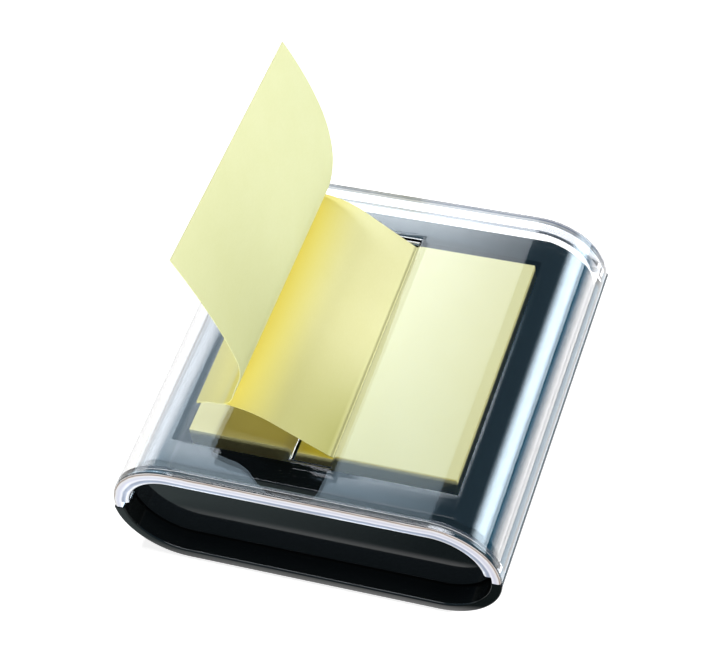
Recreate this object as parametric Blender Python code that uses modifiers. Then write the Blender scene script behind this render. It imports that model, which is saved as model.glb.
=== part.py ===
"""Pop-up note dispenser: a black base, a black core with a well for the pad, and a clear push-on cover.

The body is a flattened tube: its section in X and Z is a rectangle with half-round sides, and it runs
along Y. The origin is on the table under the middle of the body, +Z is up, and lengths are in metres.
"""
import math

import bmesh
import bpy
from mathutils import Vector

# Notes, the pad of them, and the room that the well leaves round it
NOTE_SIDE = 0.0762
NOTE_THICKNESS = 0.0002
PAD_HEIGHT = 0.0098
WELL_SIDE_ROOM = 0.0025
WELL_END_ROOM = 0.0032
PAD_SHIFT_X = 0.0012
PAD_SHIFT_Y = 0.0008

# Outer form of the body: bands of the top on each side and end of the well, and the height
SIDE_BAND = 0.0152
END_BAND = 0.0142
BODY_HEIGHT = 0.0386
FOOT_STAND = 0.0008
PARTING_RISE = 0.0182
ARC_STEPS = 14
END_STEPS = 3
END_STEP_DEGREES = 3.0
FILLET_STEPS = 2
RUNNING_GAP = 0.0003
CUT_OVERRUN = 0.002

# Walls, measured inwards from the outer form
BASE_WALL = 0.0032
BASE_EDGE_ROUND = 0.0006
COVER_INSET = 0.0003
COVER_WALL = 0.0025
COVER_EDGE_ROUND = 0.0011
LIP_WALL = 0.0048
LIP_DEPTH = 0.0040
LIP_END_RISE = 0.0030
LIP_ROUND = 0.0011

# Tongue of the cover that drops behind the edge of the base
TONGUE_THICKNESS = 0.0009
TONGUE_DROP = 0.0022
TONGUE_ROOT = 0.0040
RABBET_EDGE = 0.0019
RABBET_DEPTH = 0.0026

# Slot in the cover
SLOT_WIDTH = 0.0104
SLOT_END_ROOM = 0.0022
SLOT_SHIFT_Y = -0.0010
SLOT_ROUND = 0.0023
SLOT_ROUND_STEPS = 5

# Walls of the well
WELL_CHAMFER = 0.0012
WELL_WALL = 0.0016
WELL_FLOOR = 0.0016

# Core
CORE_GAP = 0.0003
CORE_WALL = 0.0020
DECK_DROP = 0.0041
END_RECESS = 0.0064
END_WALL = 0.0024
SKIRT_DROP = 0.0034
CORE_EDGE_ROUND = 0.0004
RIB_THICKNESS = 0.0020
RIB_SPACING = 0.0240

# Screws, their posts and the bosses in the base, set in from the sides and ends of the body
SCREW_SIDE_INSET = 0.0238
SCREW_END_INSET = 0.0205
POST_DIAMETER = 0.0072
BOSS_DIAMETER = 0.0084
BOSS_HEIGHT = 0.0030
SHANK_DIAMETER = 0.0026
SCREW_LENGTH = 0.0110
SCREW_HEAD_DIAMETER = 0.0054
SCREW_HEAD_HEIGHT = 0.0016
SCREW_CLEARANCE = 0.0003
SCREW_HEAD_DEPTH = 0.0020
DRIVE_SLOT_WIDTH = 0.0007
DRIVE_SLOT_LENGTH = 0.0032
DRIVE_SLOT_DEPTH = 0.0008
ROUND_SIDES = 24

# Feet
FOOT_DIAMETER = 0.0110
FOOT_HEIGHT = 0.0018
FOOT_ROUND = 0.0005
FOOT_SIDE_INSET = 0.0278
FOOT_END_INSET = 0.0095

# Steel ballast plate and the fence round it
PLATE_SIDE_INSET = 0.0298
PLATE_END_INSET = 0.0135
PLATE_HEIGHT = 0.0050
PLATE_CORNER = 0.0030
PLATE_CORNER_SEGMENTS = 4
PLATE_EDGE_ROUND = 0.0003
FENCE_THICKNESS = 0.0014
FENCE_HEIGHT = 0.0034
FENCE_REACH = 0.0140

# The two notes that are drawn out of the slot. Each table gives, along one edge of a note, shares of
# the length that stands free and the degrees that the paper turns over each share
SECOND_NOTE_NEAR_SHARES = ((0.081, -37.0), (0.390, -1.0), (0.296, 28.0), (0.233, 36.0))
SECOND_NOTE_FAR_SHARES = ((0.081, -43.0), (0.390, -1.0), (0.296, 36.0), (0.233, 13.0))
FIRST_NOTE_NEAR_SHARES = ((0.109, 64.0), (0.131, -4.0), (0.164, 31.0), (0.240, 6.0), (0.356, 6.0))
FIRST_NOTE_FAR_SHARES = ((0.109, 71.0), (0.131, 8.0), (0.164, 9.0), (0.240, 12.0), (0.356, 12.0))
FIRST_NOTE_LEAN = 0.0061
SLOT_BEND_LEAD = 0.0014
SECOND_NOTE_STEPS = 40
FIRST_NOTE_STEPS = 56
GLUE_STEPS = 6
NOTE_ROWS = 5

# Angles past which an edge is rounded or shaded sharp, and the distance that makes two points one
ROUNDED_EDGE_DEGREES = 50.0
SHARP_EDGE_DEGREES = 35.0
WELD_DISTANCE = 0.00001

# Values that follow from the sizes above
WELL_WIDTH = NOTE_SIDE + 2 * WELL_SIDE_ROOM
WELL_LENGTH = NOTE_SIDE + 2 * WELL_END_ROOM
SLOT_LENGTH = NOTE_SIDE + 2 * SLOT_END_ROOM
BODY_WIDTH = WELL_WIDTH + 2 * SIDE_BAND
BODY_DEPTH = WELL_LENGTH + 2 * END_BAND
PLATE_WIDTH = BODY_WIDTH - 2 * PLATE_SIDE_INSET
PLATE_LENGTH = BODY_DEPTH - 2 * PLATE_END_INSET
SIDE_RADIUS = BODY_HEIGHT / 2
SIDE_CENTRE_X = BODY_WIDTH / 2 - SIDE_RADIUS
MID_Z = FOOT_STAND + SIDE_RADIUS
BODY_TOP_Z = FOOT_STAND + BODY_HEIGHT
PARTING_Z = FOOT_STAND + PARTING_RISE
FLOOR_Z = FOOT_STAND + BASE_WALL
COVER_UNDERSIDE_Z = BODY_TOP_Z - COVER_INSET - COVER_WALL
DECK_Z = BODY_TOP_Z - DECK_DROP
CORE_INSET = BASE_WALL + CORE_GAP
CORE_LENGTH = BODY_DEPTH - 2 * END_RECESS
PAD_TOP_Z = DECK_Z
PAD_BOTTOM_Z = PAD_TOP_Z - PAD_HEIGHT
WELL_FLOOR_Z = PAD_BOTTOM_Z - RUNNING_GAP
WELL_UNDERSIDE_Z = WELL_FLOOR_Z - WELL_FLOOR
BOSS_TOP_Z = FLOOR_Z + BOSS_HEIGHT
PLATE_BOTTOM_Z = FLOOR_Z + RUNNING_GAP
PLATE_TOP_Z = PLATE_BOTTOM_Z + PLATE_HEIGHT
COVER_BOTTOM_Z = PARTING_Z + RUNNING_GAP
TUCKED_Z = PAD_TOP_Z + RUNNING_GAP + NOTE_THICKNESS / 2
SCREW_PLACES = [
    (side * (BODY_WIDTH / 2 - SCREW_SIDE_INSET), end * (BODY_DEPTH / 2 - SCREW_END_INSET))
    for end in (-1, 1) for side in (-1, 1)
]
FOOT_PLACES = [
    (side * (BODY_WIDTH / 2 - FOOT_SIDE_INSET), end * (BODY_DEPTH / 2 - FOOT_END_INSET))
    for end in (-1, 1) for side in (-1, 1)
]


def clear_scene():
    for thing in list(bpy.data.objects):
        bpy.data.objects.remove(thing, do_unlink=True)


def new_collection(name):
    group = bpy.data.collections.new(name)
    bpy.context.scene.collection.children.link(group)
    return group


def plastic(name, color, roughness, metallic=0.0, clear=0.0):
    finish = bpy.data.materials.new(name)
    finish.use_nodes = True
    shader = finish.node_tree.nodes["Principled BSDF"]
    shader.inputs["Base Color"].default_value = (*color, 1.0)
    shader.inputs["Roughness"].default_value = roughness
    shader.inputs["Metallic"].default_value = metallic
    shader.inputs["Transmission Weight"].default_value = clear
    return finish


def add_object(name, mesh, group, finish=None):
    piece = bpy.data.objects.new(name, mesh)
    group.objects.link(piece)
    if finish is not None:
        mesh.materials.clear()
        mesh.materials.append(finish)
    return piece


def mark_cutter(piece):
    piece.hide_render = True
    piece.display_type = "WIRE"
    return piece


def bmesh_object(name, shape, group, finish=None):
    bmesh.ops.recalc_face_normals(shape, faces=shape.faces)
    if shape.calc_volume(signed=True) < 0.0:
        bmesh.ops.reverse_faces(shape, faces=shape.faces)
    mesh = bpy.data.meshes.new(name)
    shape.to_mesh(mesh)
    shape.free()
    return add_object(name, mesh, group, finish)


def arc(centre_x, radius, start, end, steps=ARC_STEPS):
    """Points of an arc in X and Z about a side's centre, from one angle to another."""
    points = []
    for step in range(steps + 1):
        angle = start + (end - start) * step / steps
        points.append((centre_x + radius * math.cos(angle), MID_Z + radius * math.sin(angle)))
    return points


def angle_at(height, radius):
    """Angle at which an arc of this radius about the mid height reaches a height."""
    return math.asin(max(-1.0, min(1.0, (height - MID_Z) / radius)))


def lower_line(inset, top_z):
    """Lower half of the body's outline at an inset, from the left side under to the right."""
    radius = SIDE_RADIUS - inset
    high = angle_at(top_z, radius)
    left = arc(-SIDE_CENTRE_X, radius, math.pi - high, 3 * math.pi / 2)
    right = arc(SIDE_CENTRE_X, radius, -math.pi / 2, high)
    return left + right


def full_outline(inset, top_z):
    """Whole outline at an inset, cut flat at a height above the middle."""
    return lower_line(inset, MID_Z)[:-1] + capped_top(inset, top_z)[:-1]


def capped_top(inset, top_z):
    radius = SIDE_RADIUS - inset
    high = angle_at(top_z, radius)
    right = arc(SIDE_CENTRE_X, radius, 0.0, high)
    left = arc(-SIDE_CENTRE_X, radius, math.pi - high, math.pi)
    return right + left


def prism(name, outline, length, group, finish=None):
    """Solid with an outline in X and Z that runs along Y."""
    curve = bpy.data.curves.new(name + "_outline", "CURVE")
    curve.dimensions = "2D"
    curve.fill_mode = "BOTH"
    curve.extrude = length / 2
    spline = curve.splines.new("POLY")
    spline.points.add(len(outline) - 1)
    for point, (x, z) in zip(spline.points, outline):
        point.co = (x, z, 0.0, 1.0)
    spline.use_cyclic_u = True
    guide = bpy.data.objects.new(name + "_outline", curve)
    group.objects.link(guide)
    guide.rotation_euler = (math.pi / 2, 0.0, 0.0)
    bpy.context.view_layer.update()
    graph = bpy.context.evaluated_depsgraph_get()
    mesh = bpy.data.meshes.new_from_object(guide.evaluated_get(graph))
    mesh.name = name
    shape = bmesh.new()
    shape.from_mesh(mesh)
    bmesh.ops.remove_doubles(shape, verts=shape.verts, dist=WELD_DISTANCE)
    bmesh.ops.recalc_face_normals(shape, faces=shape.faces)
    shape.to_mesh(mesh)
    shape.free()
    solid = add_object(name, mesh, group, finish)
    solid.matrix_world = guide.matrix_world.copy()
    bpy.data.objects.remove(guide, do_unlink=True)
    return solid


def rounded_section(corners):
    """Closed outline from corners of y, inset and fillet radius, each fillet a short arc."""
    points = []
    count = len(corners)
    for index, (y, inset, radius) in enumerate(corners):
        here = Vector((y, inset))
        if radius == 0.0:
            points.append((y, inset))
            continue
        before = (Vector(corners[index - 1][:2]) - here).normalized()
        after = (Vector(corners[(index + 1) % count][:2]) - here).normalized()
        middle = here + (before + after) * radius
        for step in range(FILLET_STEPS + 1):
            angle = math.pi / 2 * step / FILLET_STEPS
            point = middle - after * radius * math.cos(angle) - before * radius * math.sin(angle)
            points.append((point.x, point.y))
    return points


def swept_shell(name, section, end_z, upwards, group, finish, inset_of=None):
    """Wall that follows the outline over the top or under the bottom, from one side to the other.

    Every ring of the sweep repeats the section of y and inset. The two end rings lie flat at a height.
    """
    shape = bmesh.new()
    rings = []
    start = upwards * angle_at(end_z, SIDE_RADIUS)
    stations = [start + math.radians(END_STEP_DEGREES) * step for step in range(1, END_STEPS + 1)]
    reach = math.pi / 2 - stations[-1]
    stations += [stations[-1] + reach * step / ARC_STEPS for step in range(1, ARC_STEPS + 1)]
    for side in (1, -1):
        order = range(-1, len(stations)) if side > 0 else range(len(stations) - 1, -2, -1)
        for index in order:
            along = SIDE_RADIUS * (stations[index] - start) if index >= 0 else 0.0
            ring = []
            for y, inset in section:
                radius = SIDE_RADIUS - (inset if inset_of is None else inset_of(inset, along))
                angle = stations[index] if index >= 0 else upwards * angle_at(end_z, radius)
                x = side * (SIDE_CENTRE_X + radius * math.cos(angle))
                ring.append(shape.verts.new((x, y, MID_Z + upwards * radius * math.sin(angle))))
            rings.append(ring)
    for first, second in zip(rings, rings[1:]):
        for index, vertex in enumerate(first):
            after = (index + 1) % len(first)
            shape.faces.new((vertex, first[after], second[after], second[index]))
    shape.faces.new(rings[0])
    shape.faces.new(rings[-1])
    bmesh.ops.remove_doubles(shape, verts=shape.verts, dist=WELD_DISTANCE)
    bmesh.ops.dissolve_degenerate(shape, edges=shape.edges, dist=WELD_DISTANCE)
    return bmesh_object(name, shape, group, finish)


def block(name, size, centre, group, finish=None):
    shape = bmesh.new()
    bmesh.ops.create_cube(shape, size=1.0)
    bmesh.ops.scale(shape, vec=Vector(size), verts=shape.verts)
    bmesh.ops.translate(shape, vec=Vector(centre), verts=shape.verts)
    return bmesh_object(name, shape, group, finish)


def cylinder(name, diameter, height, centre, group, finish=None):
    shape = bmesh.new()
    bmesh.ops.create_cone(
        shape, cap_ends=True, segments=ROUND_SIDES,
        radius1=diameter / 2, radius2=diameter / 2, depth=height)
    bmesh.ops.translate(shape, vec=Vector(centre), verts=shape.verts)
    return bmesh_object(name, shape, group, finish)


def stepped_hole(name, levels, middle_y, group):
    """Rectangular cutter through levels of height, half width and half length, from low to high."""
    shape = bmesh.new()
    rings = []
    for height, half_x, half_y in levels:
        corners = ((-half_x, -half_y), (half_x, -half_y), (half_x, half_y), (-half_x, half_y))
        rings.append([shape.verts.new((x, middle_y + y, height)) for x, y in corners])
    shape.faces.new(rings[0])
    shape.faces.new(rings[-1])
    for low, high in zip(rings, rings[1:]):
        for index, vertex in enumerate(low):
            after = (index + 1) % len(low)
            shape.faces.new((vertex, low[after], high[after], high[index]))
    return mark_cutter(bmesh_object(name, shape, group))


def turned(name, profile, group, finish):
    """Solid of revolution about Z from a profile of radius and height, top to bottom."""
    mesh = bpy.data.meshes.new(name)
    points = [(radius, 0.0, height) for radius, height in profile]
    mesh.from_pydata(points, [(index, index + 1) for index in range(len(points) - 1)], [])
    piece = add_object(name, mesh, group, finish)
    screw = piece.modifiers.new("Turn", "SCREW")
    screw.axis = "Z"
    screw.steps = ROUND_SIDES
    screw.render_steps = ROUND_SIDES
    screw.use_merge_vertices = True
    screw.merge_threshold = WELD_DISTANCE
    screw.use_smooth_shade = True
    return piece


def cut(piece, cutter, operation="DIFFERENCE"):
    boolean = piece.modifiers.new(cutter.name, "BOOLEAN")
    boolean.operation = operation
    boolean.solver = "EXACT"
    boolean.object = cutter
    return boolean


def join(piece, addition):
    mark_cutter(addition)
    return cut(piece, addition, "UNION")


def round_edges(piece, width):
    bevel = piece.modifiers.new("Rounded edges", "BEVEL")
    bevel.width = width
    bevel.segments = 1
    bevel.limit_method = "ANGLE"
    bevel.angle_limit = math.radians(ROUNDED_EDGE_DEGREES)
    bevel.use_clamp_overlap = True
    return bevel


def smooth(piece):
    piece.data.shade_smooth()
    piece.data.set_sharp_from_angle(angle=math.radians(SHARP_EDGE_DEGREES))
    return piece


def make_base_shell(parts, cutters, finish):
    """Lower half of the tube, open at both ends, with bosses and the fence for the ballast."""
    half = BODY_DEPTH / 2
    section = rounded_section((
        (-half, 0.0, BASE_EDGE_ROUND),
        (half, 0.0, BASE_EDGE_ROUND),
        (half, BASE_WALL, BASE_EDGE_ROUND),
        (-half, BASE_WALL, BASE_EDGE_ROUND),
    ))
    shell = swept_shell("base_shell", section, PARTING_Z, -1, parts, finish)
    tongue_room = BASE_WALL - RABBET_EDGE + CUT_OVERRUN
    for side in (-1, 1):
        middle_x = side * (BODY_WIDTH / 2 - RABBET_EDGE - tongue_room / 2)
        size = (tongue_room, BODY_DEPTH - 2 * LIP_DEPTH, RABBET_DEPTH + CUT_OVERRUN)
        centre = (middle_x, 0.0, PARTING_Z - RABBET_DEPTH + size[2] / 2)
        cut(shell, mark_cutter(block("base_rabbet", size, centre, cutters)))
    for x, y in SCREW_PLACES:
        height = BOSS_HEIGHT + BASE_WALL / 2
        join(shell, cylinder("base_boss", BOSS_DIAMETER, height, (x, y, BOSS_TOP_Z - height / 2), cutters))
    make_fence(shell, cutters)
    for x, y in SCREW_PLACES:
        through = SHANK_DIAMETER + 2 * SCREW_CLEARANCE
        hole = cylinder("screw_hole", through, BODY_HEIGHT, (x, y, FLOOR_Z), cutters)
        cut(shell, mark_cutter(hole))
        depth = SCREW_HEAD_DEPTH + CUT_OVERRUN
        sink = cylinder(
            "screw_sink", SCREW_HEAD_DIAMETER + 2 * SCREW_CLEARANCE, depth,
            (x, y, FOOT_STAND + SCREW_HEAD_DEPTH - depth / 2), cutters)
        cut(shell, mark_cutter(sink))
    for x, y in FOOT_PLACES:
        seat_depth = FOOT_HEIGHT + RUNNING_GAP - FOOT_STAND
        depth = seat_depth + CUT_OVERRUN
        seat = cylinder(
            "foot_seat", FOOT_DIAMETER + 2 * RUNNING_GAP, depth,
            (x, y, FOOT_STAND + seat_depth - depth / 2), cutters)
        cut(shell, mark_cutter(seat))
    return smooth(shell)


def make_fence(shell, cutters):
    """Four corner angles on the floor that keep the ballast plate in place."""
    height = FENCE_HEIGHT + BASE_WALL / 2
    middle = (0.0, 0.0, FLOOR_Z + FENCE_HEIGHT - height / 2)
    inner_x = PLATE_WIDTH + 2 * RUNNING_GAP
    inner_y = PLATE_LENGTH + 2 * RUNNING_GAP
    outer_x = inner_x + 2 * FENCE_THICKNESS
    outer_y = inner_y + 2 * FENCE_THICKNESS
    tall = height + 2 * CUT_OVERRUN
    fence = block("plate_fence", (outer_x, outer_y, height), middle, cutters)
    cut(fence, mark_cutter(block("fence_room", (inner_x, inner_y, tall), middle, cutters)))
    gap_x = outer_x - 2 * FENCE_REACH
    gap_y = outer_y - 2 * FENCE_REACH
    wide = outer_x + 2 * CUT_OVERRUN
    long = outer_y + 2 * CUT_OVERRUN
    cut(fence, mark_cutter(block("fence_gap_long", (wide, gap_y, tall), middle, cutters)))
    cut(fence, mark_cutter(block("fence_gap_short", (gap_x, long, tall), middle, cutters)))
    join(shell, fence)


def make_core(parts, cutters, finish):
    """Black insert: flat deck, half-round sides, end walls, the well for the pad and screw posts."""
    core = prism("note_well", full_outline(CORE_INSET, DECK_Z), CORE_LENGTH, parts, finish)
    round_edges(core, CORE_EDGE_ROUND)
    room_length = CORE_LENGTH - 2 * END_WALL
    room = prism(
        "core_room", full_outline(CORE_INSET + CORE_WALL, DECK_Z - CORE_WALL), room_length, cutters)
    cut(core, mark_cutter(room))
    skirt_z = PARTING_Z - SKIRT_DROP
    under_height = skirt_z - FOOT_STAND
    under = block(
        "core_underside", (BODY_WIDTH, room_length, under_height),
        (0.0, 0.0, skirt_z - under_height / 2), cutters)
    cut(core, mark_cutter(under))
    well_height = DECK_Z - CORE_WALL / 2 - WELL_UNDERSIDE_Z
    well_size = (WELL_WIDTH + 2 * WELL_WALL, WELL_LENGTH + 2 * WELL_WALL, well_height)
    join(core, block("well_walls", well_size, (0.0, 0.0, WELL_UNDERSIDE_Z + well_height / 2), cutters))
    post_bottom_z = BOSS_TOP_Z + RUNNING_GAP
    for x, y in SCREW_PLACES:
        height = WELL_UNDERSIDE_Z + WELL_FLOOR / 2 - post_bottom_z
        join(core, cylinder("screw_post", POST_DIAMETER, height, (x, y, post_bottom_z + height / 2), cutters))
    rib_bottom_z = PLATE_TOP_Z + RUNNING_GAP
    for side in (-1, 1):
        height = WELL_UNDERSIDE_Z + WELL_FLOOR / 2 - rib_bottom_z
        rib = block(
            "plate_rib", (PLATE_WIDTH, RIB_THICKNESS, height),
            (0.0, side * RIB_SPACING / 2, rib_bottom_z + height / 2), cutters)
        join(core, rib)
    half_x = WELL_WIDTH / 2
    half_y = WELL_LENGTH / 2
    flare = WELL_CHAMFER + CUT_OVERRUN
    mouth = stepped_hole("well_mouth", (
        (WELL_FLOOR_Z, half_x, half_y),
        (DECK_Z - WELL_CHAMFER, half_x, half_y),
        (DECK_Z + CUT_OVERRUN, half_x + flare, half_y + flare),
    ), 0.0, cutters)
    cut(core, mouth)
    pilot_depth = SCREW_LENGTH - (BOSS_TOP_Z - FOOT_STAND - SCREW_HEAD_DEPTH) + RUNNING_GAP
    for x, y in SCREW_PLACES:
        depth = pilot_depth + CUT_OVERRUN
        pilot = cylinder(
            "pilot_hole", SHANK_DIAMETER + 2 * SCREW_CLEARANCE, depth,
            (x, y, post_bottom_z + pilot_depth - depth / 2), cutters)
        cut(core, mark_cutter(pilot))
    return smooth(core)


def make_cover(parts, cutters, finish):
    """Clear upper half of the tube, with thick rounded lips at both ends and a slot in the top."""
    half = BODY_DEPTH / 2
    lip_y = half - LIP_DEPTH
    wall = COVER_INSET + COVER_WALL
    lip = COVER_INSET + LIP_WALL
    section = rounded_section((
        (-half, COVER_INSET, COVER_EDGE_ROUND),
        (half, COVER_INSET, COVER_EDGE_ROUND),
        (half, lip, LIP_ROUND),
        (lip_y, lip, LIP_ROUND),
        (lip_y, wall, 0.0),
        (-lip_y, wall, 0.0),
        (-lip_y, lip, LIP_ROUND),
        (-half, lip, LIP_ROUND),
    ))
    cover = swept_shell("clear_cover", section, COVER_BOTTOM_Z, 1, parts, finish, lip_inset)
    tongue_length = BODY_DEPTH - 2 * LIP_DEPTH - 2 * RUNNING_GAP
    tongue_height = TONGUE_DROP + TONGUE_ROOT
    for side in (-1, 1):
        middle_x = side * (BODY_WIDTH / 2 - RABBET_EDGE - RUNNING_GAP - TONGUE_THICKNESS / 2)
        size = (TONGUE_THICKNESS, tongue_length, tongue_height)
        centre = (middle_x, 0.0, COVER_BOTTOM_Z - TONGUE_DROP + tongue_height / 2)
        join(cover, block("cover_tongue", size, centre, cutters))
    cut(cover, make_slot(cutters))
    return smooth(cover)


def lip_inset(inset, along):
    """The lip thins to the plain wall in a quarter round just above the parting line."""
    wall = COVER_INSET + COVER_WALL
    if inset <= wall or along >= LIP_END_RISE:
        return inset
    share = math.sqrt(max(0.0, 1.0 - (1.0 - along / LIP_END_RISE) ** 2))
    return wall + (inset - wall) * share


def make_slot(cutters):
    """Cutter for the slot, whose upper edge rolls over in a quarter round."""
    top_z = BODY_TOP_Z - COVER_INSET
    half_x = SLOT_WIDTH / 2
    half_y = SLOT_LENGTH / 2
    levels = [(COVER_UNDERSIDE_Z - CUT_OVERRUN, half_x, half_y)]
    for step in range(SLOT_ROUND_STEPS + 1):
        angle = math.pi / 2 * step / SLOT_ROUND_STEPS
        rise = SLOT_ROUND * math.sin(angle)
        spread = SLOT_ROUND * (1.0 - math.cos(angle))
        levels.append((top_z - SLOT_ROUND + rise, half_x + spread, half_y + spread))
    levels.append((top_z + CUT_OVERRUN, half_x + SLOT_ROUND, half_y + SLOT_ROUND))
    return stepped_hole("cover_slot", levels, SLOT_SHIFT_Y, cutters)


def make_screw(name, x, y, parts, cutters, finish):
    """Pan-head screw, driven up from below, with a cross in its head."""
    head_bottom_z = FOOT_STAND + SCREW_HEAD_DEPTH - RUNNING_GAP - SCREW_HEAD_HEIGHT
    head_top_z = head_bottom_z + SCREW_HEAD_HEIGHT
    tip_z = head_top_z + SCREW_LENGTH
    shank = SHANK_DIAMETER / 2
    head = SCREW_HEAD_DIAMETER / 2
    crown = SCREW_HEAD_HEIGHT / 3
    screw = turned(name, (
        (0.0, tip_z),
        (shank / 2, tip_z),
        (shank, tip_z - shank),
        (shank, head_top_z),
        (head, head_top_z),
        (head, head_bottom_z + crown),
        (head - crown, head_bottom_z),
        (0.0, head_bottom_z),
    ), parts, finish)
    screw.location = (x, y, 0.0)
    depth = DRIVE_SLOT_DEPTH + CUT_OVERRUN
    middle_z = head_bottom_z + DRIVE_SLOT_DEPTH - depth / 2
    for width, length in ((DRIVE_SLOT_WIDTH, DRIVE_SLOT_LENGTH), (DRIVE_SLOT_LENGTH, DRIVE_SLOT_WIDTH)):
        bar = block(name + "_drive", (width, length, depth), (x, y, middle_z), cutters)
        cut(screw, mark_cutter(bar))
    return screw


def make_foot(name, x, y, parts, finish):
    radius = FOOT_DIAMETER / 2
    foot = turned(name, (
        (0.0, FOOT_HEIGHT),
        (radius, FOOT_HEIGHT),
        (radius, FOOT_ROUND),
        (radius - FOOT_ROUND, 0.0),
        (0.0, 0.0),
    ), parts, finish)
    foot.location = (x, y, 0.0)
    return foot


def make_ballast(parts, finish):
    plate = block(
        "ballast_plate", (PLATE_WIDTH, PLATE_LENGTH, PLATE_HEIGHT),
        (0.0, 0.0, PLATE_BOTTOM_Z + PLATE_HEIGHT / 2), parts, finish)
    upright = [edge for edge in plate.data.edges if is_upright(plate.data, edge)]
    weights = plate.data.attributes.new("bevel_weight_edge", "FLOAT", "EDGE")
    for edge in upright:
        weights.data[edge.index].value = 1.0
    corners = plate.modifiers.new("Corners", "BEVEL")
    corners.limit_method = "WEIGHT"
    corners.width = PLATE_CORNER
    corners.segments = PLATE_CORNER_SEGMENTS
    round_edges(plate, PLATE_EDGE_ROUND)
    return smooth(plate)


def is_upright(mesh, edge):
    first, second = (mesh.vertices[index].co for index in edge.vertices)
    return abs(first.z - second.z) > abs(first.x - second.x) + abs(first.y - second.y)


def make_pad(parts, finish):
    """Stack of folded notes that lies loose in the well."""
    return block(
        "note_pad", (NOTE_SIDE, NOTE_SIDE, PAD_HEIGHT),
        (PAD_SHIFT_X, PAD_SHIFT_Y, PAD_BOTTOM_Z + PAD_HEIGHT / 2), parts, finish)


def turn_at(table, share):
    """Degrees for each whole side that the paper turns at this share of its length."""
    for length, turn in table:
        if share <= length:
            return turn / length
        share -= length
    return 0.0


def bent_line(start, direction, table, length, steps):
    """Line of a note's edge in X and Z, from its start and first direction, turned by a table."""
    x, z = start
    points = [start]
    for step in range(steps):
        turn = math.radians(turn_at(table, (step + 0.5) / steps)) / steps
        direction += turn / 2
        x += length / steps * math.cos(direction)
        z += length / steps * math.sin(direction)
        direction += turn / 2
        points.append((x, z))
    return points


def make_sheet(name, near_line, far_line, parts, finish, lean=0.0):
    """Sheet of paper lofted between its near and far edges, given its thickness both ways."""
    shape = bmesh.new()
    rows = []
    for row in range(NOTE_ROWS + 1):
        share = row / NOTE_ROWS
        line = []
        for index, (near, far) in enumerate(zip(near_line, far_line)):
            x = near[0] + (far[0] - near[0]) * share
            y = PAD_SHIFT_Y + (share - 0.5) * NOTE_SIDE - lean * index / (len(near_line) - 1)
            line.append(shape.verts.new((x, y, near[1] + (far[1] - near[1]) * share)))
        rows.append(line)
    for low, high in zip(rows, rows[1:]):
        for index in range(len(low) - 1):
            shape.faces.new((low[index], low[index + 1], high[index + 1], high[index]))
    sheet = bmesh_object(name, shape, parts, finish)
    wall = sheet.modifiers.new("Paper", "SOLIDIFY")
    wall.thickness = NOTE_THICKNESS
    wall.offset = 0.0
    sheet.data.shade_smooth()
    return sheet


def second_note_line(table):
    """Edge of the second note: flat on the pad up to the slot, then up through the slot and over."""
    start_x = PAD_SHIFT_X + NOTE_SIDE / 2
    bend_x = SLOT_WIDTH / 2 + SLOT_BEND_LEAD
    free_length = NOTE_SIDE - (start_x - bend_x)
    bend = bent_line((bend_x, TUCKED_Z), math.pi, table, free_length, SECOND_NOTE_STEPS)
    return [(start_x, TUCKED_Z)] + bend


def first_note_line(table, below):
    """Edge of the first note: its glued strip follows the end of the note below, then it stands up."""
    lift = RUNNING_GAP + NOTE_THICKNESS
    strip = [(x, z + lift) for x, z in reversed(below[-GLUE_STEPS - 1:])]
    before, last = strip[-2:]
    direction = math.atan2(last[1] - before[1], last[0] - before[0])
    glued_length = sum(math.dist(here, after) for here, after in zip(strip, strip[1:]))
    drawn = bent_line(last, direction, table, NOTE_SIDE - glued_length, FIRST_NOTE_STEPS)
    return strip[:-1] + drawn


def make_drawn_notes(parts, finish):
    """Second note, threaded up through the slot, and the first note, glued to its end and drawn out."""
    second_near = second_note_line(SECOND_NOTE_NEAR_SHARES)
    second_far = second_note_line(SECOND_NOTE_FAR_SHARES)
    make_sheet("second_note", second_near, second_far, parts, finish)
    first_near = first_note_line(FIRST_NOTE_NEAR_SHARES, second_near)
    first_far = first_note_line(FIRST_NOTE_FAR_SHARES, second_far)
    make_sheet("first_note", first_near, first_far, parts, finish, FIRST_NOTE_LEAN)


def main():
    clear_scene()
    parts = new_collection("note_dispenser")
    cutters = new_collection("note_dispenser_cutters")
    black = plastic("black_plastic", (0.012, 0.015, 0.017), 0.22)
    satin = plastic("satin_black_plastic", (0.016, 0.018, 0.020), 0.32)
    clear = plastic("clear_plastic", (0.93, 0.96, 0.98), 0.03, clear=1.0)
    rubber = plastic("rubber", (0.03, 0.03, 0.03), 0.8)
    steel = plastic("zinc_plated_steel", (0.55, 0.55, 0.56), 0.35, metallic=1.0)
    paper = plastic("yellow_paper", (0.78, 0.80, 0.42), 0.75)
    make_base_shell(parts, cutters, black)
    make_core(parts, cutters, satin)
    make_cover(parts, cutters, clear)
    make_ballast(parts, steel)
    for number, (x, y) in enumerate(SCREW_PLACES, 1):
        make_screw(f"core_screw_{number}", x, y, parts, cutters, steel)
    for number, (x, y) in enumerate(FOOT_PLACES, 1):
        make_foot(f"foot_{number}", x, y, parts, rubber)
    make_pad(parts, paper)
    make_drawn_notes(parts, paper)


main()
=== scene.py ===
import math

import bmesh
import bpy
from mathutils import Matrix, Vector


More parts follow.
